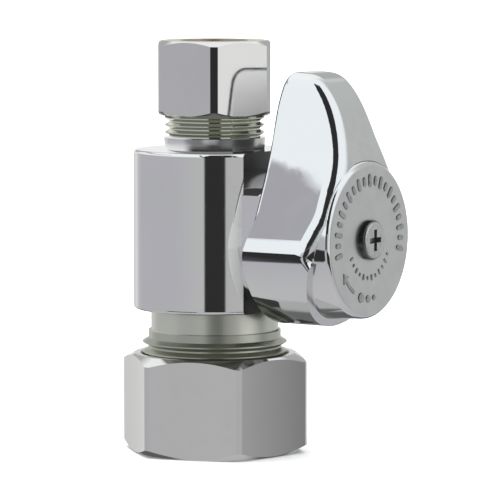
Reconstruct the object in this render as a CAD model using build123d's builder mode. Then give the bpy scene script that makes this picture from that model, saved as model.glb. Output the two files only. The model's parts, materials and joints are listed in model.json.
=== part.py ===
from build123d import *
import os
from math import cos, radians, sin, tan

# Straight quarter-turn compression stop: 5/8 in OD tube inlet below, 3/8 in OD tube outlet above.
# Frame: +Z is the flow direction, the origin is the middle of the inlet nut's end face,
# and the handle faces -Y. Millimetres throughout.

# ---- stack along the flow axis, measured up from the inlet nut's end face ----
inlet_nut_height = 14.1
thread_relief_bottom = 17.4
body_bottom = 20.5
body_top = 43.2
outlet_shoulder_top = 44.9
outlet_nut_bottom = 48.05
outlet_nut_height = 10.6
outlet_nut_top = outlet_nut_bottom + outlet_nut_height
valve_axis = 31.4

# ---- body ----
body_radius = 11.6
body_edge_round = 0.5
barrel_flat = 9.35
boss_radius = 9.2
boss_half_width = 7.0
boss_face = 12.5
boss_edge_round = 0.3
inlet_relief_radius = 9.1
outlet_shoulder_radius = 7.25
outlet_shoulder_root_radius = 7.1
cavity_radius = 7.4
cavity_top = valve_axis + 7.0
passage_radius = 3.6

# ---- tube sockets and compression ends (depths are from each nut's end face) ----
inlet_tube_radius = 8.0
inlet_tube_stop = 13.0
inlet_neck_depth = 6.3
inlet_mouth_radius = 8.9
outlet_tube_radius = 4.82
outlet_tube_stop = 12.2
outlet_neck_depth = 5.0
outlet_mouth_radius = 5.6
mouth_half_angle = 30

# ---- threads: 13/16-18 on the inlet, 9/16-24 on the outlet ----
inlet_pitch = 25.4 / 18
inlet_major_radius = 20.64 / 2
outlet_pitch = 25.4 / 24
outlet_major_radius = 14.29 / 2
thread_depth_ratio = 0.6134
thread_crest_ratio = 0.125
thread_start_ratio = 0.25
thread_half_angle = 30
thread_clearance = 0.1

# ---- nuts ----
inlet_nut_flats = 23.81
inlet_nut_corner_radius = 13.5
inlet_nut_turn = 48
outlet_nut_flats = 15.875
outlet_nut_corner_radius = 8.87
outlet_nut_turn = 33
nut_face_ratio = 0.97
nut_chamfer_angle = 30
nut_lead_in = 0.25
inlet_nut_wall = 2.7
outlet_nut_wall = 2.2

# ---- ferrules ----
inlet_ferrule_radius = 9.2
outlet_ferrule_radius = 5.9
ferrule_gap = 0.12
ferrule_heel = 0.3
ferrule_nose = 0.1

# ---- ball and seats ----
ball_radius = 6.6
ball_port_radius = 3.3
ball_cut_length = 14.0
ball_slot_width = 2.7
ball_slot_floor = 4.8
seat_radius = 7.35
seat_bore_radius = 3.5
seat_inner_face = 4.35
seat_outer_face = 6.95
seat_clearance = 0.03
face_play = 0.02
retainer_bottom = 14.6
retainer_bore_radius = 3.6
retainer_hex_flats = 8.0
retainer_hex_depth = 4.0
retainer_groove_height = 21.4
retainer_groove_width = 1.5
retainer_groove_radius = 6.15
retainer_ring_section = 0.56
ring_play = 0.03

# ---- stem (distances are forward of the flow axis) ----
stem_radius = 3.0
stem_bore_radius = 3.05
tang_width = 2.55
tang_length = 6.4
tang_tip = 4.95
flange_radius = 4.1
flange_bore_radius = 4.25
flange_back = 6.8
flange_front = 7.8
washer_seat = 8.4
washer_bore_radius = 3.05
stem_groove_radius = 1.95
stem_groove_width = 1.3
stem_ring_section = 0.5
stem_ring_stations = (9.7, 11.4)
stem_shoulder = 14.2
stem_end = 20.8
drive_flats = 4.6
drive_hole_flats = 4.7
tapped_radius = 1.8
tapped_floor = 14.6

# ---- handle (distances are forward of the flow axis, heights are above the valve axis) ----
hub_radius = 12.4
hub_back = 12.6
lever_back = 13.3
lever_front = 25.5
cap_radius = 11.0
cap_front = 25.85
cap_root = 19.0
cap_edge_round = 0.8
hub_corner_angle = -6
flare_start_angle = 10
flare_angle = 24.5
flare_bend_radius = 7.8
back_flare_height = 10.3
back_flank_middle = (5.9, 14.9)
back_tip_half_width = 5.4
front_flare_height = 5.0
front_flank_middle = (6.2, 12.0)
front_tip_half_width = 4.5
tip_shoulder_height = 19.3
tip_height = 23.6
tip_corner_round = 3.0
crown_start_height = 7.5
crown_shape = ((24.3, 14), (21.8, 20), (19.3, 22.6), (15.2, 23.3))
lever_back_bend = (13.9, 19.3)
crown_end_direction = (-1, 0.1)
lever_tip_direction = (0.5, 1)
lever_front_round = 2.3
lever_back_round = 0.8
lever_back_rim_depth = 3.0
lever_back_rim_height = 2.0
front_rim_facing = -0.3
lever_step_top = 12.0
lever_step_bottom = 1.0
hub_step_height = -2.0
flank_lean = 0.13
profile_margin = 1.0
outline_margin = 2.5

# the hub's front leans back below the lever, and the cap stands out of it
shoulder_start_height = 4.2
shoulder_tilt = 20
shoulder_bend_radius = 8.0
cap_foot_radius = 11.4
cap_foot_depth = 0.25
hub_cavity_radius = 9.3
hub_cavity_floor = 12.7
handle_shoulder_bore = 3.3
handle_shoulder_play = 0.1
handle_drive_play = 0.2
handle_screw_hole_radius = 1.9

# ---- quarter-turn stop: a lug on the boss runs in an arc slot in the handle ----
lug_inner_radius = 6.9
lug_outer_radius = 8.3
lug_face = 13.6
lug_start_angle = 215
lug_end_angle = 235
lug_slot_gap = 0.2
lug_slot_play = 0.8
quarter_turn = 90

# ---- handle screw ----
screw_radius = 1.7
screw_end = 15.4
screw_head_radius = 2.75
screw_head_height = 0.95
screw_head_round = 0.45
recess_length = 3.0
recess_width = 0.75
recess_depth = 0.8

# how near two lengths must be to count as the same
tolerance = 0.01

front = Plane(origin=(0, 0, valve_axis), x_dir=(1, 0, 0), z_dir=(0, -1, 0))
side = Plane(origin=(0, 0, valve_axis), x_dir=(0, -1, 0), z_dir=(-1, 0, 0))
valve_line = Axis((0, 0, valve_axis), (0, -1, 0))


def thread_outline(minor, major, start, end, pitch):
    """Points up the outside of a male thread, from start to end, with V ridges between flats."""
    ridge = (major - minor) * tan(radians(thread_half_angle))
    crest = pitch * thread_crest_ratio
    points = []
    height = start + pitch * thread_start_ratio
    while height + 2 * ridge + crest < end:
        points += [(minor, height), (major, height + ridge),
                   (major, height + ridge + crest), (minor, height + 2 * ridge + crest)]
        height += pitch
    return points


def revolved_z(points):
    """A solid of revolution about the flow axis from (radius, height) points."""
    with BuildPart() as solid:
        with BuildSketch(Plane.XZ):
            with BuildLine():
                Polyline(*points, close=True)
            make_face()
        revolve(axis=Axis.Z)
    return solid.part


def revolved_y(points):
    """A solid of revolution about the valve axis from (distance forward, radius) points."""
    with BuildPart() as solid:
        with BuildSketch(side):
            with BuildLine():
                Polyline(*points, close=True)
            make_face()
        revolve(axis=valve_line)
    return solid.part


def ring(center_radius, section, plane, axis):
    """An O-ring: its section is a circle on the plane, turned about the axis."""
    with BuildPart() as solid:
        with BuildSketch(plane):
            with Locations((center_radius, 0)):
                Circle(section)
        revolve(axis=axis)
    return solid.part


def finish(piece, name):
    piece.label = name
    export_step(piece, f"parts/{name}.step")


os.makedirs("parts", exist_ok=True)

inlet_minor_radius = inlet_major_radius - thread_depth_ratio * inlet_pitch
outlet_minor_radius = outlet_major_radius - thread_depth_ratio * outlet_pitch
mouth_slope = tan(radians(mouth_half_angle))
inlet_mouth_depth = inlet_neck_depth + (inlet_mouth_radius - inlet_tube_radius) / mouth_slope
outlet_mouth_depth = outlet_neck_depth + (outlet_mouth_radius - outlet_tube_radius) / mouth_slope
outlet_neck_top = outlet_nut_top - outlet_neck_depth

# ---- valve body: upright barrel, threaded necks, stem boss with its stop lug ----
inlet_thread = thread_outline(inlet_minor_radius, inlet_major_radius, inlet_neck_depth,
                              thread_relief_bottom, inlet_pitch)
outlet_thread = thread_outline(outlet_minor_radius, outlet_major_radius, outlet_shoulder_top,
                               outlet_neck_top, outlet_pitch)
with BuildPart() as valve_body:
    with BuildSketch(Plane.XZ):
        with BuildLine():
            Polyline(
                (0, inlet_neck_depth), (inlet_minor_radius, inlet_neck_depth), *inlet_thread,
                (inlet_minor_radius, thread_relief_bottom), (inlet_relief_radius, thread_relief_bottom),
                (inlet_relief_radius, body_bottom), (body_radius, body_bottom), (body_radius, body_top),
                (outlet_shoulder_root_radius, body_top), (outlet_shoulder_radius, outlet_shoulder_top),
                (outlet_minor_radius, outlet_shoulder_top), *outlet_thread,
                (outlet_minor_radius, outlet_neck_top), (0, outlet_neck_top), close=True)
        make_face()
    revolve(axis=Axis.Z)
    circles = valve_body.edges().filter_by(GeomType.CIRCLE)
    fillet([rim for rim in circles if abs(rim.radius - body_radius) < tolerance], radius=body_edge_round)
    # flat on the barrel's front, with the stem boss standing on it: a disc with its sides cut off
    with BuildSketch(front.offset(barrel_flat)):
        with Locations((0, (body_bottom + body_top) / 2 - valve_axis)):
            Rectangle(2 * body_radius, body_top - body_bottom)
    extrude(amount=body_radius - barrel_flat, mode=Mode.SUBTRACT)
    with BuildSketch(front):
        Circle(boss_radius)
        Rectangle(2 * boss_half_width, 2 * boss_radius, mode=Mode.INTERSECT)
    extrude(amount=boss_face)
    fillet(valve_body.faces().sort_by(Axis.Y)[0].edges(), radius=boss_edge_round)
    with BuildSketch(front.offset(boss_face)):
        with BuildLine():
            lug_sweep = lug_end_angle - lug_start_angle
            lug_outer = CenterArc((0, 0), lug_outer_radius, lug_start_angle, lug_sweep)
            lug_inner = CenterArc((0, 0), lug_inner_radius, lug_start_angle, lug_sweep)
            Line(lug_inner @ 0, lug_outer @ 0)
            Line(lug_inner @ 1, lug_outer @ 1)
        make_face()
    extrude(amount=lug_face - boss_face)
    # waterway: inlet mouth and tube socket, ball cavity, passage, outlet socket and mouth
    with BuildSketch(Plane.XZ):
        with BuildLine():
            Polyline(
                (0, inlet_neck_depth), (inlet_mouth_radius, inlet_neck_depth),
                (inlet_tube_radius, inlet_mouth_depth), (inlet_tube_radius, inlet_tube_stop),
                (cavity_radius, inlet_tube_stop), (cavity_radius, cavity_top),
                (passage_radius, cavity_top), (passage_radius, outlet_nut_top - outlet_tube_stop),
                (outlet_tube_radius, outlet_nut_top - outlet_tube_stop),
                (outlet_tube_radius, outlet_nut_top - outlet_mouth_depth),
                (outlet_mouth_radius, outlet_neck_top), (0, outlet_neck_top), close=True)
        make_face()
    revolve(axis=Axis.Z, mode=Mode.SUBTRACT)
    # stem bore and the pocket for the stem's flange
    with BuildSketch(front):
        Circle(stem_bore_radius)
    extrude(amount=boss_face, mode=Mode.SUBTRACT)
    with BuildSketch(front):
        Circle(flange_bore_radius)
    extrude(amount=washer_seat, mode=Mode.SUBTRACT)
finish(valve_body.part, "valve_body")


# ---- compression nuts and ferrules ----
def compression_nut(flats, corner_radius, turn, height, wall, tube_radius, bore_radius):
    """Chamfered hex nut standing on its end face, with its tube hole below and its thread bore above."""
    face_radius = nut_face_ratio * flats / 2
    chamfer_height = (corner_radius - face_radius) * tan(radians(nut_chamfer_angle))
    with BuildPart() as nut:
        with BuildSketch(Plane.XY):
            RegularPolygon(radius=flats / 2, side_count=6, major_radius=False, rotation=turn)
        extrude(amount=height)
        with BuildSketch(Plane.XZ):
            with BuildLine():
                Polyline((0, 0), (face_radius, 0), (corner_radius, chamfer_height),
                         (corner_radius, height - chamfer_height), (face_radius, height), (0, height),
                         close=True)
            make_face()
        revolve(axis=Axis.Z, mode=Mode.INTERSECT)
        with BuildSketch(Plane.XZ):
            with BuildLine():
                Polyline((0, 0), (tube_radius, 0), (tube_radius, wall),
                         (bore_radius, wall + bore_radius - tube_radius), (bore_radius, height - nut_lead_in),
                         (bore_radius + nut_lead_in, height), (0, height), close=True)
            make_face()
        revolve(axis=Axis.Z, mode=Mode.SUBTRACT)
    return nut.part


def ferrule(tube_radius, outer_radius, mouth_radius, nut_wall, neck_depth):
    """Compression sleeve standing in its nut: a 45 degree heel below and a 30 degree nose above."""
    nose_slope = tan(radians(mouth_half_angle))
    heel_radius = tube_radius + ferrule_heel
    heel_height = nut_wall + ferrule_heel + ferrule_gap
    nose_radius = tube_radius + ferrule_nose
    nose_start = neck_depth - (outer_radius - mouth_radius + ferrule_gap) / nose_slope
    nose_end = neck_depth + (mouth_radius - ferrule_gap - nose_radius) / nose_slope
    return revolved_z([(tube_radius, heel_height), (heel_radius, heel_height),
                       (outer_radius, heel_height + outer_radius - heel_radius),
                       (outer_radius, nose_start), (nose_radius, nose_end), (tube_radius, nose_end)])


inlet_nut = compression_nut(inlet_nut_flats, inlet_nut_corner_radius, inlet_nut_turn, inlet_nut_height,
                            inlet_nut_wall, inlet_tube_radius, inlet_major_radius + thread_clearance)
inlet_ferrule = ferrule(inlet_tube_radius, inlet_ferrule_radius, inlet_mouth_radius, inlet_nut_wall,
                        inlet_neck_depth)
finish(inlet_nut, "inlet_nut")
finish(inlet_ferrule, "inlet_ferrule")

upside_down = Plane(origin=(0, 0, outlet_nut_top), x_dir=(1, 0, 0), z_dir=(0, 0, -1))
outlet_nut = compression_nut(outlet_nut_flats, outlet_nut_corner_radius, -outlet_nut_turn, outlet_nut_height,
                             outlet_nut_wall, outlet_tube_radius, outlet_major_radius + thread_clearance)
outlet_ferrule = ferrule(outlet_tube_radius, outlet_ferrule_radius, outlet_mouth_radius, outlet_nut_wall,
                         outlet_neck_depth)
finish(upside_down * outlet_nut, "outlet_nut")
finish(upside_down * outlet_ferrule, "outlet_ferrule")

# ---- ball: bored along the flow, slotted across for the stem's tang ----
with BuildPart() as ball:
    with Locations((0, 0, valve_axis)):
        Sphere(ball_radius)
        Cylinder(ball_port_radius, ball_cut_length, mode=Mode.SUBTRACT)
    with BuildSketch(front.offset(ball_slot_floor)):
        Rectangle(ball_cut_length, ball_slot_width)
    extrude(amount=ball_radius, mode=Mode.SUBTRACT)
finish(ball.part, "ball")

# ---- seats: one ring drawn below the ball, and its twin mirrored above ----
seat_bottom = valve_axis - seat_outer_face
seat_top = valve_axis - seat_inner_face
with BuildPart() as inlet_seat:
    with BuildSketch(Plane.XZ):
        with BuildLine():
            Polyline((seat_bore_radius, seat_bottom), (seat_radius, seat_bottom),
                     (seat_radius, seat_top), (seat_bore_radius, seat_top), close=True)
        make_face()
        with Locations((0, valve_axis)):
            Circle(ball_radius + seat_clearance, mode=Mode.SUBTRACT)
    revolve(axis=Axis.Z)
with BuildPart() as outlet_seat:
    mirror(inlet_seat.part, about=Plane.XY.offset(valve_axis))
finish(inlet_seat.part, "inlet_seat")
finish(outlet_seat.part, "outlet_seat")

# ---- ball retainer: screwed in from the inlet behind the lower seat, with its own seal ----
retainer_top = valve_axis - seat_outer_face - face_play
groove_top = retainer_groove_height + retainer_groove_width / 2
groove_bottom = retainer_groove_height - retainer_groove_width / 2
with BuildPart() as ball_retainer:
    with BuildSketch(Plane.XZ):
        with BuildLine():
            Polyline((retainer_bore_radius, retainer_bottom), (seat_radius, retainer_bottom),
                     (seat_radius, groove_bottom), (retainer_groove_radius, groove_bottom),
                     (retainer_groove_radius, groove_top), (seat_radius, groove_top),
                     (seat_radius, retainer_top), (retainer_bore_radius, retainer_top), close=True)
        make_face()
    revolve(axis=Axis.Z)
    with BuildSketch(Plane.XY.offset(retainer_bottom)):
        RegularPolygon(radius=retainer_hex_flats / 2, side_count=6, major_radius=False)
    extrude(amount=retainer_hex_depth, mode=Mode.SUBTRACT)
finish(ball_retainer.part, "ball_retainer")
retainer_ring_plane = Plane(origin=(0, 0, retainer_groove_height), x_dir=(1, 0, 0), z_dir=(0, -1, 0))
retainer_ring_radius = retainer_groove_radius + retainer_ring_section + ring_play
finish(ring(retainer_ring_radius, retainer_ring_section, retainer_ring_plane, Axis.Z), "retainer_o_ring")

# ---- stem: tang, flange, two seal grooves, square drive and tapped end ----
grooves = []
for station in stem_ring_stations:
    groove_back = station - stem_groove_width / 2
    groove_front = station + stem_groove_width / 2
    grooves += [(groove_back, stem_radius), (groove_back, stem_groove_radius),
                (groove_front, stem_groove_radius), (groove_front, stem_radius)]
with BuildPart() as stem:
    with BuildSketch(side):
        with BuildLine():
            Polyline((flange_back, 0), (flange_back, flange_radius), (flange_front, flange_radius),
                     (flange_front, stem_radius), *grooves, (stem_shoulder, stem_radius), (stem_shoulder, 0),
                     close=True)
        make_face()
    revolve(axis=valve_line)
    with BuildSketch(front.offset(tang_tip)):
        Rectangle(tang_length, tang_width)
    extrude(amount=flange_back - tang_tip)
    with BuildSketch(front.offset(stem_shoulder)):
        Rectangle(drive_flats, drive_flats)
    extrude(amount=stem_end - stem_shoulder)
    with BuildSketch(front.offset(tapped_floor)):
        Circle(tapped_radius)
    extrude(amount=stem_end - tapped_floor, mode=Mode.SUBTRACT)
finish(stem.part, "stem")

stem_ring_radius = stem_groove_radius + stem_ring_section + ring_play
for station, name in zip(stem_ring_stations, ("stem_inner_o_ring", "stem_outer_o_ring")):
    ring_plane = Plane(origin=(0, -station, valve_axis), x_dir=(1, 0, 0), z_dir=(0, 0, 1))
    finish(ring(stem_ring_radius, stem_ring_section, ring_plane, valve_line), name)

washer_back = flange_front + face_play
washer_front = washer_seat - face_play
finish(revolved_y([(washer_back, washer_bore_radius), (washer_back, flange_radius),
                   (washer_front, flange_radius), (washer_front, washer_bore_radius)]), "stem_thrust_washer")

# ---- handle: round hub with a flat cap, and a lever that flares out of it and narrows to the front ----
flare_slope = tan(radians(flare_angle))
flare_start = (-sin(radians(flare_start_angle)), cos(radians(flare_start_angle)))
hub_corner_height = valve_axis + hub_radius * sin(radians(hub_corner_angle))
profile_back = hub_back - profile_margin
profile_front = cap_front + profile_margin
tip_lean = flank_lean * (tip_height - tip_shoulder_height)

# the leaning plane starts below a bend in the lever's front, and runs past the foot of the hub
shoulder_slope = tan(radians(shoulder_tilt))
shoulder_top = shoulder_start_height - shoulder_bend_radius * sin(radians(shoulder_tilt))
shoulder_top_forward = lever_front - shoulder_bend_radius * (1 - cos(radians(shoulder_tilt)))
shoulder_forward = shoulder_top_forward - shoulder_top * shoulder_slope
outline_foot = -hub_radius - outline_margin


def handle_profile(forward, flare_height, flank_middle, tip_half_width):
    """The handle seen from the front: hub arc, flare, flank and rounded tip, mirrored."""
    with BuildSketch(front.offset(forward)) as profile:
        with BuildLine():
            hub_arc = CenterArc((0, 0), hub_radius, -90, 90 + hub_corner_angle)
            bend = JernArc(hub_arc @ 1, flare_start, flare_bend_radius, flare_angle - flare_start_angle)
            bend_end = bend @ 1
            flare_top = (bend_end.X - (flare_height - bend_end.Y) * flare_slope, flare_height)
            Line(bend_end, flare_top)
            flank = Spline(flare_top, flank_middle, (tip_half_width, tip_shoulder_height),
                           tangents=[(-flare_slope, 1), (-flank_lean, 1)])
            Polyline(flank @ 1, (tip_half_width - tip_lean, tip_height), (0, tip_height))
            mirror(about=Plane.YZ)
        make_face()
        tip_corners = [v for v in vertices() if abs(v.Y - tip_height) < tolerance and abs(v.X) > tolerance]
        fillet(tip_corners, radius=tip_corner_round)
    return profile.sketch


with BuildPart() as side_outline:
    with BuildSketch(side):
        with BuildLine():
            Polyline((lever_back, lever_step_top), (lever_back, lever_step_bottom),
                     (hub_back, hub_step_height), (hub_back, outline_foot),
                     (shoulder_forward + outline_foot * shoulder_slope, outline_foot),
                     (shoulder_top_forward, shoulder_top))
            JernArc((lever_front, shoulder_start_height), (0, -1), shoulder_bend_radius, -shoulder_tilt)
            Line((lever_front, shoulder_start_height), (lever_front, crown_start_height))
            crown = Spline((lever_front, crown_start_height), *crown_shape,
                           tangents=[(0, 1), crown_end_direction])
            Spline((lever_back, lever_step_top), lever_back_bend, crown @ 1,
                   tangents=[(0, 1), lever_tip_direction])
        make_face()
    extrude(amount=2 * hub_radius, both=True)

# the cap's foot lies just behind the lever's front and the leaning plane, so it shows only in front of them
cap_foot_top = lever_front - cap_foot_depth
cap_foot_bend = (lever_front - shoulder_forward) / shoulder_slope
cap_foot_bottom = shoulder_forward - cap_foot_radius * shoulder_slope - cap_foot_depth
with BuildPart() as cap:
    with BuildSketch(side):
        with BuildLine():
            Polyline((cap_root, 0), (cap_root, cap_foot_radius), (cap_front, cap_radius), (cap_front, 0),
                     close=True)
        make_face()
    revolve(axis=valve_line)
    fillet(cap.faces().sort_by(Axis.Y)[0].edges(), radius=cap_edge_round)
    with BuildSketch(side):
        with BuildLine():
            Polyline((cap_foot_top, cap_foot_radius), (cap_foot_top, cap_foot_bend),
                     (cap_foot_bottom, -cap_foot_radius), (profile_front, -cap_foot_radius),
                     (profile_front, cap_foot_radius), close=True)
        make_face()
    extrude(amount=cap_foot_radius, both=True, mode=Mode.INTERSECT)

with BuildPart() as handle:
    back_end = handle_profile(profile_back, back_flare_height, back_flank_middle, back_tip_half_width)
    front_end = handle_profile(profile_front, front_flare_height, front_flank_middle, front_tip_half_width)
    loft(sections=[back_end, front_end], ruled=True)
    add(side_outline.part, mode=Mode.INTERSECT)
    front_faces = [face for face in handle.faces() if face.normal_at(face.center()).Y < front_rim_facing]
    front_rim = [e for face in front_faces for e in face.edges()
                 if e.geom_type != GeomType.LINE and e.center().Z > hub_corner_height]
    fillet(front_rim, radius=lever_front_round)
    add(cap.part)
    back_rim = [e for e in handle.edges() if -e.center().Y < lever_back + lever_back_rim_depth
                and e.center().Z > valve_axis + lever_back_rim_height]
    fillet(back_rim, radius=lever_back_round)
    # cavity over the boss, slot for the stop lug, stem bore, square drive and screw hole
    with BuildSketch(front.offset(hub_back)):
        Circle(hub_cavity_radius)
    extrude(amount=hub_cavity_floor - hub_back, mode=Mode.SUBTRACT)
    with BuildSketch(front.offset(hub_cavity_floor)):
        with BuildLine():
            slot_start = lug_start_angle - lug_slot_play
            slot_sweep = lug_sweep + quarter_turn + 2 * lug_slot_play
            slot_outer = CenterArc((0, 0), lug_outer_radius + lug_slot_gap, slot_start, slot_sweep)
            slot_inner = CenterArc((0, 0), lug_inner_radius - lug_slot_gap, slot_start, slot_sweep)
            Line(slot_inner @ 0, slot_outer @ 0)
            Line(slot_inner @ 1, slot_outer @ 1)
        make_face()
    extrude(amount=lug_face - hub_cavity_floor + lug_slot_gap, mode=Mode.SUBTRACT)
    with BuildSketch(front.offset(hub_back)):
        Circle(handle_shoulder_bore)
    extrude(amount=stem_shoulder - hub_back + handle_shoulder_play, mode=Mode.SUBTRACT)
    with BuildSketch(front.offset(hub_back)):
        Rectangle(drive_hole_flats, drive_hole_flats)
    extrude(amount=stem_end - hub_back + handle_drive_play, mode=Mode.SUBTRACT)
    with BuildSketch(front.offset(hub_back)):
        Circle(handle_screw_hole_radius)
    extrude(amount=cap_front - hub_back + profile_margin, mode=Mode.SUBTRACT)
finish(handle.part, "handle")

# ---- screw: round head with a cross recess, through the handle into the stem ----
head_front = cap_front + screw_head_height
with BuildPart() as handle_screw:
    with BuildSketch(front.offset(cap_front)):
        Circle(screw_head_radius)
    extrude(amount=screw_head_height)
    head_rim = handle_screw.faces().sort_by(Axis.Y)[0].outer_wire().edges()
    fillet(head_rim, radius=screw_head_round)
    with BuildSketch(front.offset(screw_end)):
        Circle(screw_radius)
    extrude(amount=cap_front - screw_end)
    with BuildSketch(front.offset(head_front - recess_depth)):
        Rectangle(recess_length, recess_width)
        Rectangle(recess_width, recess_length)
    extrude(amount=recess_depth, mode=Mode.SUBTRACT)
finish(handle_screw.part, "handle_screw")
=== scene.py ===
import json
import math

import bmesh
import bpy
from mathutils import Matrix, Vector


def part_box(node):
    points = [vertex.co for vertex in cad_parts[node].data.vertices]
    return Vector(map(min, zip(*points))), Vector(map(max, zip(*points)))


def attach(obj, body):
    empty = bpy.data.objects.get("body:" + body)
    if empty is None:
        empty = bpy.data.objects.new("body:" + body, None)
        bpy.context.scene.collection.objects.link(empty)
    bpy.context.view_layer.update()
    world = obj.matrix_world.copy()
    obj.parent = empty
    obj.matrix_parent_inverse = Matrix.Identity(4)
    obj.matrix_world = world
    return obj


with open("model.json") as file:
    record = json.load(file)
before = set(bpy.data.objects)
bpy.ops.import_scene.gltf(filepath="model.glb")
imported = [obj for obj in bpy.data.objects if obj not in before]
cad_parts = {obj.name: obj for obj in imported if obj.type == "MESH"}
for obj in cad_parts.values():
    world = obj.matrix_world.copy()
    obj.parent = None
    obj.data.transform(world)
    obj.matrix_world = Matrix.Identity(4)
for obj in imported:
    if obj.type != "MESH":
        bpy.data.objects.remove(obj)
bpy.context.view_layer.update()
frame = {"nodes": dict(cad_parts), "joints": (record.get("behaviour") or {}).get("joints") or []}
nodes = frame["nodes"]
joints = {joint["name"]: joint for joint in frame["joints"]}

MM = 0.001
MICRON = 0.001 * MM
WHITE = (1.0, 1.0, 1.0)

# ---- camera ----
CAMERA_AZIMUTH = -57.0
CAMERA_ELEVATION = 5.3
CAMERA_DISTANCE = 0.535
CAMERA_LENS = 271.4
CAMERA_SENSOR = 36.0
CAMERA_TARGET = Vector((0, -0.006, 0.029))


def make_camera():
    """Sets the scene's camera, and returns the direction from the object to it."""
    azimuth = math.radians(CAMERA_AZIMUTH)
    elevation = math.radians(CAMERA_ELEVATION)
    back = Vector((math.sin(azimuth) * math.cos(elevation), -math.cos(azimuth) * math.cos(elevation),
                   math.sin(elevation)))
    data = bpy.data.cameras.new("camera")
    data.sensor_width = CAMERA_SENSOR
    data.lens = CAMERA_LENS
    data.clip_start = 0.01
    camera = bpy.data.objects.new("camera", data)
    camera.location = CAMERA_TARGET + back * CAMERA_DISTANCE
    camera.rotation_euler = back.to_track_quat("Z", "Y").to_euler()
    bpy.context.scene.collection.objects.link(camera)
    bpy.context.scene.camera = camera
    return back


# ---- small helpers for node trees ----
class Tree:
    """Adds nodes to a node tree, linking sockets given as inputs and setting plain values."""

    def __init__(self, tree):
        self.tree = tree
        self.tree.nodes.clear()

    def put(self, socket, value):
        if isinstance(value, bpy.types.NodeSocket):
            self.tree.links.new(value, socket)
        else:
            socket.default_value = value

    def add(self, kind, inputs=None, **settings):
        node = self.tree.nodes.new(kind)
        for name, value in settings.items():
            setattr(node, name, value)
        for name, value in (inputs or {}).items():
            self.put(node.inputs[name], value)
        return node

    def math(self, operation, a, b=0.0, c=0.0):
        return self.add("ShaderNodeMath", {0: a, 1: b, 2: c}, operation=operation).outputs[0]

    def step(self, value, low, high, start=0.0, end=1.0):
        """Goes smoothly from start to end as value goes from low to high."""
        inputs = {"Value": value, "From Min": low, "From Max": high, "To Min": start, "To Max": end}
        return self.add("ShaderNodeMapRange", inputs, interpolation_type="SMOOTHSTEP").outputs["Result"]

    def band(self, value, low, high, soft):
        """1 between low and high, falling to 0 over soft on each side."""
        up = self.step(value, low - soft, low + soft)
        down = self.step(value, high - soft, high + soft, 1.0, 0.0)
        return self.math("MULTIPLY", up, down)

    def at_least(self, value, mask, level):
        """Raises a value to the level where the mask is 1."""
        return self.math("MAXIMUM", value, self.math("MULTIPLY", mask, level))

    def mix(self, factor, a, b):
        node = self.add("ShaderNodeMix", {"Factor": factor}, data_type="RGBA")
        self.put(node.inputs[6], a)
        self.put(node.inputs[7], b)
        return node.outputs[2]

    def ramp(self, value, low, high, stops):
        """Colours at the places in stops, each (place, colour), for a value from low to high."""
        share = self.add("ShaderNodeMapRange", {"Value": value, "From Min": low, "From Max": high}).outputs[0]
        node = self.add("ShaderNodeValToRGB", {"Fac": share})
        elements = node.color_ramp.elements
        while len(elements) < len(stops):
            elements.new(0.5)
        for element, (place, color) in zip(elements, stops):
            element.position = (place - low) / (high - low)
            element.color = color
        return node.outputs["Color"]

    def noise(self, place, scale, detail=2.0):
        inputs = {"Vector": place, "Scale": scale, "Detail": detail}
        return self.add("ShaderNodeTexNoise", inputs).outputs["Fac"]

    def rings(self, distance, scale, detail=1.0):
        """Noise that follows one distance only, like the marks of a lathe."""
        inputs = {"W": distance, "Scale": scale, "Detail": detail}
        return self.add("ShaderNodeTexNoise", inputs, noise_dimensions="1D").outputs["Fac"]

    def around(self, place, center, axis):
        """How far along the axis and how far from it a place is, in metres."""
        local = self.add("ShaderNodeVectorMath", {0: place, 1: center}, operation="SUBTRACT").outputs[0]
        x, y, z = self.add("ShaderNodeSeparateXYZ", {0: local}).outputs
        along, first, second = (z, x, y) if axis == "Z" else (y, x, z)
        squares = self.math("MULTIPLY_ADD", first, first, self.math("MULTIPLY", second, second))
        return along, self.math("SQRT", squares)


def gray(level, tint=WHITE):
    return (level * tint[0], level * tint[1], level * tint[2], 1.0)


# ---- studio: a light tent with a dark slit where the camera looks in and a dark gap along the table ----
# Angles are in degrees: azimuth 0 is where the camera is, and grows to its right. A row of a panel is an
# angle, how bright the tent is there, and its tint.
COOL = (0.94, 0.985, 1.0)
LILAC = (0.97, 0.965, 1.03)
GREEN = (0.98, 1.01, 0.985)
BACKDROP = 0.98

WALLS = (
    (-180, 0.78, WHITE), (-158, 0.82, WHITE), (-148, 0.90, WHITE), (-138, 0.60, WHITE), (-128, 0.53, LILAC),
    (-60, 0.53, LILAC), (-14, 0.56, WHITE), (16, 0.52, WHITE), (42, 0.53, WHITE), (50, 0.94, WHITE),
    (68, 0.94, WHITE), (82, 0.51, WHITE), (95, 0.24, WHITE), (112, 0.56, WHITE), (180, 0.75, WHITE))
ROOF = ((3, 0.53, WHITE), (9, 1.07, COOL), (90, 1.09, COOL))
LEFT_ROOF = (
    (3, 0.53, WHITE), (9, 1.07, COOL), (30, 1.07, COOL), (32.5, 0.46, LILAC), (37.5, 0.46, LILAC),
    (40, 1.07, COOL), (70, 1.1, WHITE), (90, 1.1, WHITE))
TABLE = ((-90, 0.60, WHITE), (-50, 0.56, WHITE), (-26, 0.52, LILAC))
RIGHT_PANEL = ((-30, 0.52, LILAC), (0, 0.54, GREEN), (40, 0.56, GREEN), (60, 0.9, WHITE), (90, 1.1, WHITE))
BACK_PANEL = (
    (-52, 0.56, WHITE), (-44, 0.12, WHITE), (-24, 0.12, WHITE), (-12, 0.60, WHITE), (-3, 0.75, WHITE),
    (3, 0.90, WHITE), (7, 0.90, WHITE), (12, 0.48, WHITE), (30, 0.48, WHITE), (38, 1.07, WHITE))

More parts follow.
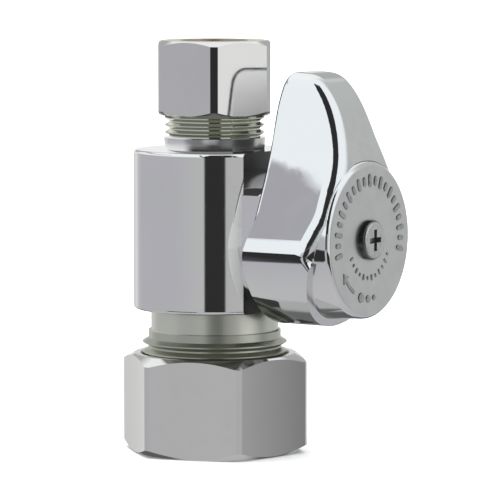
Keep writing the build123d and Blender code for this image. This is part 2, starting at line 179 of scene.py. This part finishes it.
TABLE_TO_WALLS = (-26, -12)
WALLS_TO_ROOF = (3, 9)
ROOF_TO_LEFT = (-71.3, -73.5)
RIGHT_SPAN = (104, 150)
BEHIND = (140.0, 156.0)

DARK = 0.032
SLIT = {"azimuth": (-14.0, 15.5), "elevation": (-11, 8), "soft": (1.8, 2.0)}
HIGH_SLIT = {"azimuth": (-14.0, 34.0), "elevation": (6, 66), "soft": (1.5, 3.0)}
LEFT_GAP = {"azimuth": (-72.0, -26.0), "elevation": (-26.0, -11.5), "soft": (4.0, 1.0)}
RIGHT_GAP = {"azimuth": (8.0, 66.0), "elevation": (-26.0, -11.5), "soft": (4.0, 1.0)}

# what metal sees by way of other metal: bright on the left, dark on the right, the pale table below
BOUNCED_LEFT = (-80, -50)
BOUNCED_LEVEL = (-28, 25)
BOUNCED_BRIGHT = 1.05
BOUNCED_PLAIN = 0.6
BOUNCED_DARK = 0.06
BOUNCED_TABLE = 0.62
BOUNCED_TABLE_EDGE = (-15, -21)
BOUNCED_TABLE_SIDES = (155, 135)
UNDERSIDE = (-53.0, -31.0)
UNDERSIDE_LEVEL = 0.2
SECOND_BOUNCE = (1.2, 1.8)
THIRD_BOUNCE = (2.2, 2.8)
DEEP_LEVEL = 0.3


def panel(tree, angle, reach, rows):
    """The tent's brightness along an angle that runs from -reach to reach."""
    return tree.ramp(angle, -reach, reach, [(place, gray(level, tint)) for place, level, tint in rows])


def window(tree, azimuth, elevation, span):
    """1 inside a span of azimuth and elevation, 0 outside it."""
    across, up = span["soft"]
    return tree.math("MULTIPLY", tree.band(azimuth, *span["azimuth"], across),
                     tree.band(elevation, *span["elevation"], up))


def tent(tree, azimuth, elevation):
    """The studio as metal sees it directly."""
    roof = tree.mix(tree.step(azimuth, *ROOF_TO_LEFT),
                    panel(tree, elevation, 90, ROOF), panel(tree, elevation, 90, LEFT_ROOF))
    color = tree.mix(tree.step(elevation, *TABLE_TO_WALLS),
                     panel(tree, elevation, 90, TABLE), panel(tree, azimuth, 180, WALLS))
    color = tree.mix(tree.step(elevation, *WALLS_TO_ROOF), color, roof)
    color = tree.mix(tree.band(azimuth, *RIGHT_SPAN, 7), color, panel(tree, elevation, 90, RIGHT_PANEL))
    color = tree.mix(tree.step(tree.math("ABSOLUTE", azimuth), *BEHIND), color,
                     panel(tree, elevation, 90, BACK_PANEL))
    dark = window(tree, azimuth, elevation, SLIT)
    for span in (HIGH_SLIT, LEFT_GAP, RIGHT_GAP):
        dark = tree.math("MAXIMUM", dark, window(tree, azimuth, elevation, span))
    return tree.mix(dark, color, gray(DARK))


def between_metal(tree, azimuth, elevation):
    """The studio as metal sees it in other metal."""
    level = tree.band(elevation, *BOUNCED_LEVEL, 5)
    color = tree.mix(tree.step(azimuth, *BOUNCED_LEFT),
                     tree.mix(level, gray(BOUNCED_PLAIN), gray(BOUNCED_BRIGHT)), gray(BOUNCED_DARK))
    aside = tree.step(tree.math("ABSOLUTE", azimuth), *BOUNCED_TABLE_SIDES)
    table = tree.math("MULTIPLY", tree.step(elevation, *BOUNCED_TABLE_EDGE), aside)
    color = tree.mix(table, color, gray(BOUNCED_TABLE))
    return tree.mix(tree.band(elevation, *UNDERSIDE, 2.0), color, gray(UNDERSIDE_LEVEL))


def make_world(to_camera):
    """Lights the scene from all round, with the tent turned towards the camera."""
    world = bpy.data.worlds.new("studio")
    bpy.context.scene.world = world
    world.use_nodes = True
    tree = Tree(world.node_tree)
    direction = tree.add("ShaderNodeTexCoord").outputs["Generated"]
    turn = -math.atan2(to_camera.y, to_camera.x)
    turned = tree.add("ShaderNodeVectorRotate", {"Vector": direction, "Angle": turn}, rotation_type="Z_AXIS")
    x, y, z = tree.add("ShaderNodeSeparateXYZ", {0: turned.outputs[0]}).outputs
    azimuth = tree.math("DEGREES", tree.math("ARCTAN2", y, x))
    elevation = tree.math("DEGREES", tree.math("ARCSINE", z))
    path = tree.add("ShaderNodeLightPath")
    bounce = path.outputs["Glossy Depth"]
    color = tree.mix(tree.step(bounce, *SECOND_BOUNCE), tent(tree, azimuth, elevation),
                     between_metal(tree, azimuth, elevation))
    color = tree.mix(tree.step(bounce, *THIRD_BOUNCE), color, gray(DEEP_LEVEL))
    color = tree.mix(path.outputs["Is Camera Ray"], color, gray(BACKDROP))
    background = tree.add("ShaderNodeBackground", {"Color": color})
    tree.add("ShaderNodeOutputWorld", {"Surface": background.outputs[0]})


FLOOR_RADIUS = 20.0
LAMP_SIZE = 6.0
LAMP_POWER = 200.0
LAMP_PLACE = (0, 0, 3.0)


def make_floor():
    bpy.ops.mesh.primitive_circle_add(vertices=96, radius=FLOOR_RADIUS, fill_type="NGON",
                                      location=(0, 0, 0))
    floor = bpy.context.object
    floor.name = "floor"
    floor.visible_glossy = False
    material = bpy.data.materials.new("pale_floor")
    material.use_nodes = True
    tree = Tree(material.node_tree)
    shader = tree.add("ShaderNodeBsdfPrincipled", {"Base Color": gray(0.95), "Roughness": 0.9,
                                                   "Specular IOR Level": 0.0})
    tree.add("ShaderNodeOutputMaterial", {"Surface": shader.outputs[0]})
    floor.data.materials.append(material)


def make_light(name, size, energy, place):
    data = bpy.data.lights.new(name, "AREA")
    data.shape = "DISK"
    data.size = size
    data.energy = energy
    lamp = bpy.data.objects.new(name, data)
    lamp.location = place
    lamp.rotation_euler = Vector(place).to_track_quat("Z", "Y").to_euler()
    lamp.visible_glossy = False
    bpy.context.scene.collection.objects.link(lamp)


# ---- materials ----
def new_material(name):
    material = bpy.data.materials.new(name)
    material.use_nodes = True
    tree = Tree(material.node_tree)
    place = tree.add("ShaderNodeTexCoord").outputs["Object"]
    return material, tree, place


def close_metal(tree, color, rough, height, metallic=1.0):
    """Ends a metal's tree: bump from a height in metres, and a metallic shader."""
    bump = tree.add("ShaderNodeBump", {"Height": height, "Distance": 1.0, "Strength": 1.0})
    shader = tree.add("ShaderNodeBsdfPrincipled", {
        "Base Color": color, "Metallic": metallic, "Roughness": rough, "Normal": bump.outputs[0]})
    tree.add("ShaderNodeOutputMaterial", {"Surface": shader.outputs[0]})


def paint(material, *names):
    for name in names:
        for slot in nodes[name].material_slots:
            slot.material = material


EDGE = 0.1 * MM
INLET_NECK = (5.0 * MM, 20.5 * MM)
THREAD_TOP = 17.4 * MM
OUTLET_SHOULDER = (43.5 * MM, 44.9 * MM)
OUTLET_NECK = (44.9 * MM, 54.0 * MM)
BORE_WALL = (9.0 * MM, 8.6 * MM)
BORE_MOUTH = (6.0 * MM, 7.0 * MM)


def plated_body():
    """Polished chrome over turned brass; the threads and bores are only thinly plated, and the threads are
    darkened further with painted shade.
    """
    material, tree, place = new_material("chrome_plate")
    along, radius = tree.around(place, (0, 0, 0), "Z")
    cloud = tree.noise(place, 90.0)
    smudge = tree.noise(place, 420.0, 4.0)
    turned = tree.rings(along, 5200.0, 2.0)
    inlet = tree.band(along, *INLET_NECK, EDGE)
    outlet = tree.band(along, *OUTLET_NECK, EDGE)
    neck = tree.math("ADD", inlet, outlet)
    bore = tree.math("MULTIPLY", tree.step(radius, *BORE_WALL), tree.step(along, *BORE_MOUTH))
    bright, warm, smudged = (0.80, 0.80, 0.81, 1), (0.79, 0.80, 0.79, 1), (0.76, 0.76, 0.76, 1)
    thin_light, thin_dark, thread_plate_and_shade = (0.76, 0.78, 0.70, 1), (0.70, 0.72, 0.64, 1), (0.56, 0.58, 0.50, 1)
    plate = tree.mix(tree.step(cloud, 0.35, 0.65), bright, warm)
    plate = tree.mix(tree.step(smudge, 0.55, 0.8, 0.0, 0.35), plate, smudged)
    # the threads take the thin plate's tint, darkened further as painted shade
    thread = tree.step(along, THREAD_TOP + EDGE / 2, THREAD_TOP - EDGE / 2)
    thin = tree.mix(thread, tree.mix(cloud, thin_light, thin_dark), thread_plate_and_shade)
    color = tree.mix(neck, plate, thin)
    rough = tree.step(smudge, 0.3, 0.75, 0.035, 0.075)
    rough = tree.at_least(rough, inlet, 0.30)
    rough = tree.at_least(rough, outlet, 0.1)
    shoulder = tree.band(along, *OUTLET_SHOULDER, EDGE)
    rough = tree.at_least(rough, shoulder, 0.22)
    rough = tree.at_least(rough, bore, 0.05)
    height = tree.math("MULTIPLY_ADD", turned, 0.02 * MICRON, tree.math("MULTIPLY", cloud, 3.0 * MICRON))
    close_metal(tree, color, rough, height)
    return material


FLAT_CROWN = 2.2
NUT_THREADS = {"inlet_nut": 10.5 * MM, "outlet_nut": 7.3 * MM}


def plated_nut(name, thread_bore):
    """Chrome on bar stock: drawn along its flats, faced on its ends, machined inside."""
    foot, top = (corner.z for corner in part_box(name))
    material, tree, place = new_material(f"{name}_plate")
    along, radius = tree.around(place, (0, 0, 0), "Z")
    stretched = tree.add("ShaderNodeMapping", {"Vector": place, "Scale": (1.0, 1.0, 0.04)}).outputs[0]
    grain = tree.noise(stretched, 2600.0, 3.0)
    cloud = tree.noise(place, 110.0)
    smudge = tree.noise(place, 520.0, 4.0)
    lathe = tree.rings(radius, 6000.0)
    inside = tree.step(radius, thread_bore + 0.3 * MM, thread_bore + 0.1 * MM)
    foot_end = tree.step(along, foot + 0.02 * MM, foot)
    end = tree.math("MAXIMUM", foot_end, tree.step(along, top - 0.02 * MM, top))
    bright, dull, smudged = (0.76, 0.755, 0.75, 1), (0.745, 0.745, 0.74, 1), (0.72, 0.72, 0.715, 1)
    machined = (0.78, 0.74, 0.60, 1)
    plate = tree.mix(tree.step(cloud, 0.35, 0.65), bright, dull)
    plate = tree.mix(tree.step(smudge, 0.5, 0.8, 0.0, 0.4), plate, smudged)
    color = tree.mix(inside, plate, machined)
    rough = tree.step(smudge, 0.3, 0.75, 0.06, 0.1)
    rough = tree.at_least(rough, inside, 0.42)
    rough = tree.at_least(rough, end, 0.2)
    lines = tree.math("MULTIPLY", tree.math("MULTIPLY", lathe, end), 0.4 * MICRON)
    crown = tree.math("MULTIPLY", tree.math("MULTIPLY", radius, radius), -FLAT_CROWN)
    relief = tree.math("MULTIPLY_ADD", cloud, 5.0 * MICRON, tree.math("ADD", lines, crown))
    height = tree.math("MULTIPLY_ADD", grain, 0.05 * MICRON, relief)
    close_metal(tree, color, rough, height)
    return material


SCREW_HEAD = 2.75 * MM
# half width and top of the painted shade on the handle's back
PAINTED_SHADE_WIDTH = 7.0 * MM
PAINTED_SHADE_TOP = 45.0 * MM


def satin_faced_handle():
    """Polished die casting, satin in front, and as cast behind; painted shade darkens the middle of the back
    facing the barrel and a ring round the screw head.
    """
    material, tree, place = new_material("handle_chrome")
    center = (0, 0, joints["handle_turn"]["pos_m"][2])
    along, radius = tree.around(place, center, "Y")
    normal = tree.add("ShaderNodeTexCoord").outputs["Normal"]
    facing = tree.add("ShaderNodeSeparateXYZ", {0: normal}).outputs["Y"]
    satin = tree.step(facing, -0.86, -0.97)
    cast = tree.step(facing, 0.8, 0.95)
    across, _, up = tree.add("ShaderNodeSeparateXYZ", {0: place}).outputs
    # painted shade: a band down the middle of the back, below a set height, is coloured near black
    middle = tree.step(tree.math("ABSOLUTE", across), PAINTED_SHADE_WIDTH + 0.6 * MM, PAINTED_SHADE_WIDTH - 0.6 * MM)
    painted_shade = tree.math("MULTIPLY", middle, tree.step(up, PAINTED_SHADE_TOP + MM, PAINTED_SHADE_TOP - MM))
    # painted shade: the cap is darkened in a ring round the screw head
    screw_ring_shade = tree.step(radius, SCREW_HEAD + 0.5 * MM, SCREW_HEAD, 0.0, 0.45)
    cloud = tree.noise(place, 80.0)
    smudge = tree.noise(place, 380.0, 4.0)
    frost = tree.noise(place, 9000.0, 2.0)
    bright, cool, ring_shade_gray = (0.80, 0.80, 0.815, 1), (0.80, 0.815, 0.82, 1), (0.30, 0.30, 0.31, 1)
    satin_light, satin_dark = (0.77, 0.775, 0.775, 1), (0.73, 0.73, 0.74, 1)
    cast_light, cast_painted_shade = (0.80, 0.80, 0.80, 1), (0.10, 0.10, 0.10, 1)
    plate = tree.mix(tree.step(cloud, 0.35, 0.65), bright, cool)
    frosted = tree.mix(tree.step(smudge, 0.35, 0.7), satin_light, satin_dark)
    color = tree.mix(screw_ring_shade, tree.mix(satin, plate, frosted), ring_shade_gray)
    color = tree.mix(cast, color, tree.mix(painted_shade, cast_light, cast_painted_shade))
    rough = tree.step(smudge, 0.3, 0.75, 0.03, 0.06)
    rough = tree.at_least(rough, satin, 0.27)
    rough = tree.at_least(rough, cast, 0.55)
    unpolished = tree.math("MAXIMUM", satin, cast)
    grit = tree.math("MULTIPLY", tree.math("MULTIPLY", frost, unpolished), 1.2 * MICRON)
    height = tree.math("MULTIPLY_ADD", cloud, 6.0 * MICRON, grit)
    close_metal(tree, color, rough, height, tree.math("MULTIPLY_ADD", cast, -0.8, 1.0))
    return material


def machined_brass():
    material, tree, place = new_material("raw_brass")
    cloud = tree.noise(place, 200.0)
    stain = tree.noise(place, 900.0, 5.0)
    inputs = {"Vector": place, "Scale": 1600.0, "Distortion": 0.4, "Detail": 1.0}
    rings = tree.add("ShaderNodeTexWave", inputs, wave_type="BANDS", bands_direction="Z").outputs["Fac"]
    color = tree.mix(tree.step(stain, 0.45, 0.75), (0.80, 0.62, 0.30, 1), (0.66, 0.47, 0.20, 1))
    rough = tree.step(cloud, 0.3, 0.7, 0.18, 0.32)
    close_metal(tree, color, rough, tree.math("MULTIPLY", rings, 1.5 * MICRON))
    return material


def mirror_ball():
    material, tree, place = new_material("polished_chrome")
    cloud = tree.noise(place, 300.0)
    scuff = tree.noise(place, 2500.0, 4.0)
    color = tree.mix(cloud, (0.84, 0.84, 0.85, 1), (0.80, 0.80, 0.80, 1))
    rough = tree.step(scuff, 0.4, 0.75, 0.02, 0.08)
    close_metal(tree, color, rough, tree.math("MULTIPLY", cloud, 1.0 * MICRON))
    return material


def zinc_screw():
    """Zinc-plated steel with ring marks from the header; painted shade darkens the bottom of the cross and
    the head's outer edge.
    """
    material, tree, place = new_material("screw_steel")
    center = (0, 0, joints["handle_turn"]["pos_m"][2])
    along, radius = tree.around(place, center, "Y")
    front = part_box("handle_screw")[0].y
    # painted shade: the bottom of the cross recess is coloured darker
    floor = tree.step(along, front + 0.15 * MM, front + 0.75 * MM)
    stain = tree.noise(place, 1400.0, 4.0)
    zinc = tree.mix(tree.step(stain, 0.4, 0.7), (0.72, 0.73, 0.74, 1), (0.60, 0.60, 0.59, 1))
    # painted shade: the head's outer edge is coloured near black
    head_edge_shade = tree.step(radius, SCREW_HEAD - 0.35 * MM, SCREW_HEAD - 0.05 * MM)
    color = tree.mix(floor, zinc, (0.36, 0.36, 0.36, 1))
    color = tree.mix(head_edge_shade, color, (0.15, 0.15, 0.155, 1))
    rough = tree.step(stain, 0.3, 0.7, 0.26, 0.34)
    close_metal(tree, color, rough, tree.math("MULTIPLY", tree.rings(radius, 9000.0), 0.8 * MICRON))
    return material


def soft_part(name, first, second, rough, grain, subsurface=0.0):
    """Plastic or rubber with a mottled colour and a fine grain."""
    material, tree, place = new_material(name)
    mottle = tree.noise(place, 700.0, 3.0)
    fine = tree.noise(place, 6000.0, 3.0)
    bump = tree.add("ShaderNodeBump", {"Height": tree.math("MULTIPLY", fine, grain), "Distance": 1.0})
    shader = tree.add("ShaderNodeBsdfPrincipled", {
        "Base Color": tree.mix(mottle, first, second),
        "Roughness": tree.step(fine, 0.2, 0.8, rough, rough + 0.15),
        "Normal": bump.outputs[0], "Subsurface Weight": subsurface, "Subsurface Scale": MM})
    tree.add("ShaderNodeOutputMaterial", {"Surface": shader.outputs[0]})
    return material


def painted_shade_marks():
    """The raised marks on the cap: the same plating, coloured darker as painted shade and mottled at random.
    """
    material, tree, place = new_material("mark_chrome")
    mark_mottle = tree.noise(place, 2600.0, 4.0)
    # painted shade: both greys sit well below the cap's plating
    color = tree.mix(tree.step(mark_mottle, 0.35, 0.7), (0.56, 0.56, 0.57, 1), (0.42, 0.42, 0.425, 1))
    rough = tree.step(mark_mottle, 0.3, 0.7, 0.24, 0.42)
    close_metal(tree, color, rough, tree.math("MULTIPLY", mark_mottle, 3.0 * MICRON))
    return material


# ---- raised marks on the cap: a dial above the screw, small ticks, and a turn arrow with dots ----
CAP_FRONT = 25.85 * MM
MARK_HEIGHT = 0.16 * MM
MARK_ROOT = 0.05 * MM
DIAL = {"radius": 8.3 * MM, "arc": (-12.0, 192.0), "count": 21,
        "width": 0.75 * MM, "lengths": (1.9 * MM, 1.4 * MM)}
INNER_DIAL = {"radius": 5.3 * MM, "arc": (206.0, 334.0), "count": 12,
              "width": 0.4 * MM, "lengths": (0.9 * MM, 0.6 * MM)}
SHUT_RADIUS = 8.2 * MM
SHUT_DOTS = ((254.0, 1.5 * MM), (267.0, 1.1 * MM), (278.0, 0.8 * MM))
ARROW = {"radius": 8.1 * MM, "start": 240.0, "end": 220.0, "width": 0.55 * MM, "head": 0.85 * MM}
MARK_BEVEL = 0.05 * MM


def cap_place(radius, degrees):
    """Where a mark stands on the cap, with its local Y pointing away from the screw."""
    angle = math.radians(degrees)
    height = joints["handle_turn"]["pos_m"][2]
    place = Vector((radius * math.cos(angle), -CAP_FRONT + MARK_ROOT, height + radius * math.sin(angle)))
    up = Matrix.Rotation(math.radians(90), 4, "X")
    return Matrix.Translation(place) @ up @ Matrix.Rotation(angle - math.radians(90), 4, "Z")


def raised(outline, thickness):
    """A flat outline made into a solid of the given thickness, standing on its local XY plane."""
    work = bmesh.new()
    face = work.faces.new([work.verts.new((x, y, 0)) for x, y in outline])
    solid = bmesh.ops.extrude_face_region(work, geom=[face])
    tops = [item for item in solid["geom"] if isinstance(item, bmesh.types.BMVert)]
    bmesh.ops.translate(work, verts=tops, vec=(0, 0, thickness))
    bmesh.ops.recalc_face_normals(work, faces=work.faces)
    rim = [edge for edge in work.edges if all(vert in tops for vert in edge.verts)]
    bmesh.ops.bevel(work, geom=rim, offset=MARK_BEVEL, segments=2, affect="EDGES")
    return work


def joined_marks(name, works, material):
    """One piece on the handle out of several placed solids."""
    mesh = bpy.data.meshes.new(name)
    whole = bmesh.new()
    for work, matrix in works:
        part = bpy.data.meshes.new("part")
        work.transform(matrix)
        work.to_mesh(part)
        work.free()
        whole.from_mesh(part)
        bpy.data.meshes.remove(part)
    whole.to_mesh(mesh)
    whole.free()
    piece = bpy.data.objects.new(name, mesh)
    bpy.context.scene.collection.objects.link(piece)
    mesh.materials.append(material)
    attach(piece, "handle")
    return piece


def tick_outline(width, length):
    """A bar with rounded ends, or a disc where the length is no more than the width."""
    turn = [math.radians(step) for step in range(0, 181, 30)]
    half = width / 2
    top = [(half * math.cos(a), length / 2 - half + half * math.sin(a)) for a in turn]
    bottom = [(-x, -y) for x, y in top]
    return top + (bottom if length > width else bottom[1:-1])


def arrow_outline(radius, start, end, width, head):
    """An arc from start to end in degrees about the screw, with an arrowhead at its end."""
    steps = 14
    angles = [math.radians(start + (end - start) * i / steps) for i in range(steps + 1)]
    outer = [((radius + width / 2) * math.cos(a), (radius + width / 2) * math.sin(a)) for a in angles]
    inner = [((radius - width / 2) * math.cos(a), (radius - width / 2) * math.sin(a)) for a in angles]
    last = angles[-1]
    tip_turn = last + math.copysign(head * 1.5 / radius, end - start)
    barb_out = ((radius + head) * math.cos(last), (radius + head) * math.sin(last))
    barb_in = ((radius - head) * math.cos(last), (radius - head) * math.sin(last))
    tip = (radius * math.cos(tip_turn), radius * math.sin(tip_turn))
    return outer + [barb_out, tip, barb_in] + inner[::-1]


def dial_ticks(dial):
    """Ticks spread evenly over an arc, long and short by turns."""
    start, end = dial["arc"]
    step = (end - start) / (dial["count"] - 1)
    ticks = []
    for i in range(dial["count"]):
        outline = tick_outline(dial["width"], dial["lengths"][i % 2])
        ticks.append((raised(outline, MARK_HEIGHT), cap_place(dial["radius"], start + i * step)))
    return ticks


def make_cap_marks(material):
    joined_marks("cap_dial_ticks", dial_ticks(DIAL), material)
    joined_marks("cap_inner_ticks", dial_ticks(INNER_DIAL), material)
    arrow = raised(arrow_outline(**ARROW), MARK_HEIGHT)
    joined_marks("cap_turn_arrow", [(arrow, cap_place(0.0, 90.0))], material)
    dots = [(raised(tick_outline(size, size), MARK_HEIGHT), cap_place(SHUT_RADIUS, place))
            for place, size in SHUT_DOTS]
    joined_marks("cap_shut_dots", dots, material)


camera_back = make_camera()
make_world(camera_back)
make_floor()
make_light("overhead", LAMP_SIZE, LAMP_POWER, LAMP_PLACE)

paint(plated_body(), "valve_body")
for name, thread_bore in NUT_THREADS.items():
    paint(plated_nut(name, thread_bore), name)
paint(satin_faced_handle(), "handle")
paint(zinc_screw(), "handle_screw")
paint(mirror_ball(), "ball")
paint(machined_brass(), "inlet_ferrule", "outlet_ferrule", "ball_retainer", "stem")
paint(soft_part("ptfe", (0.93, 0.93, 0.91, 1), (0.88, 0.88, 0.86, 1), 0.38, 1.0 * MICRON, 0.15),
      "inlet_seat", "outlet_seat", "stem_thrust_washer")
paint(soft_part("black_rubber", (0.03, 0.03, 0.03, 1), (0.045, 0.043, 0.042, 1), 0.5, 2.0 * MICRON),
      "retainer_o_ring", "stem_inner_o_ring", "stem_outer_o_ring")
make_cap_marks(painted_shade_marks())

bpy.context.scene.view_settings.view_transform = "Standard"
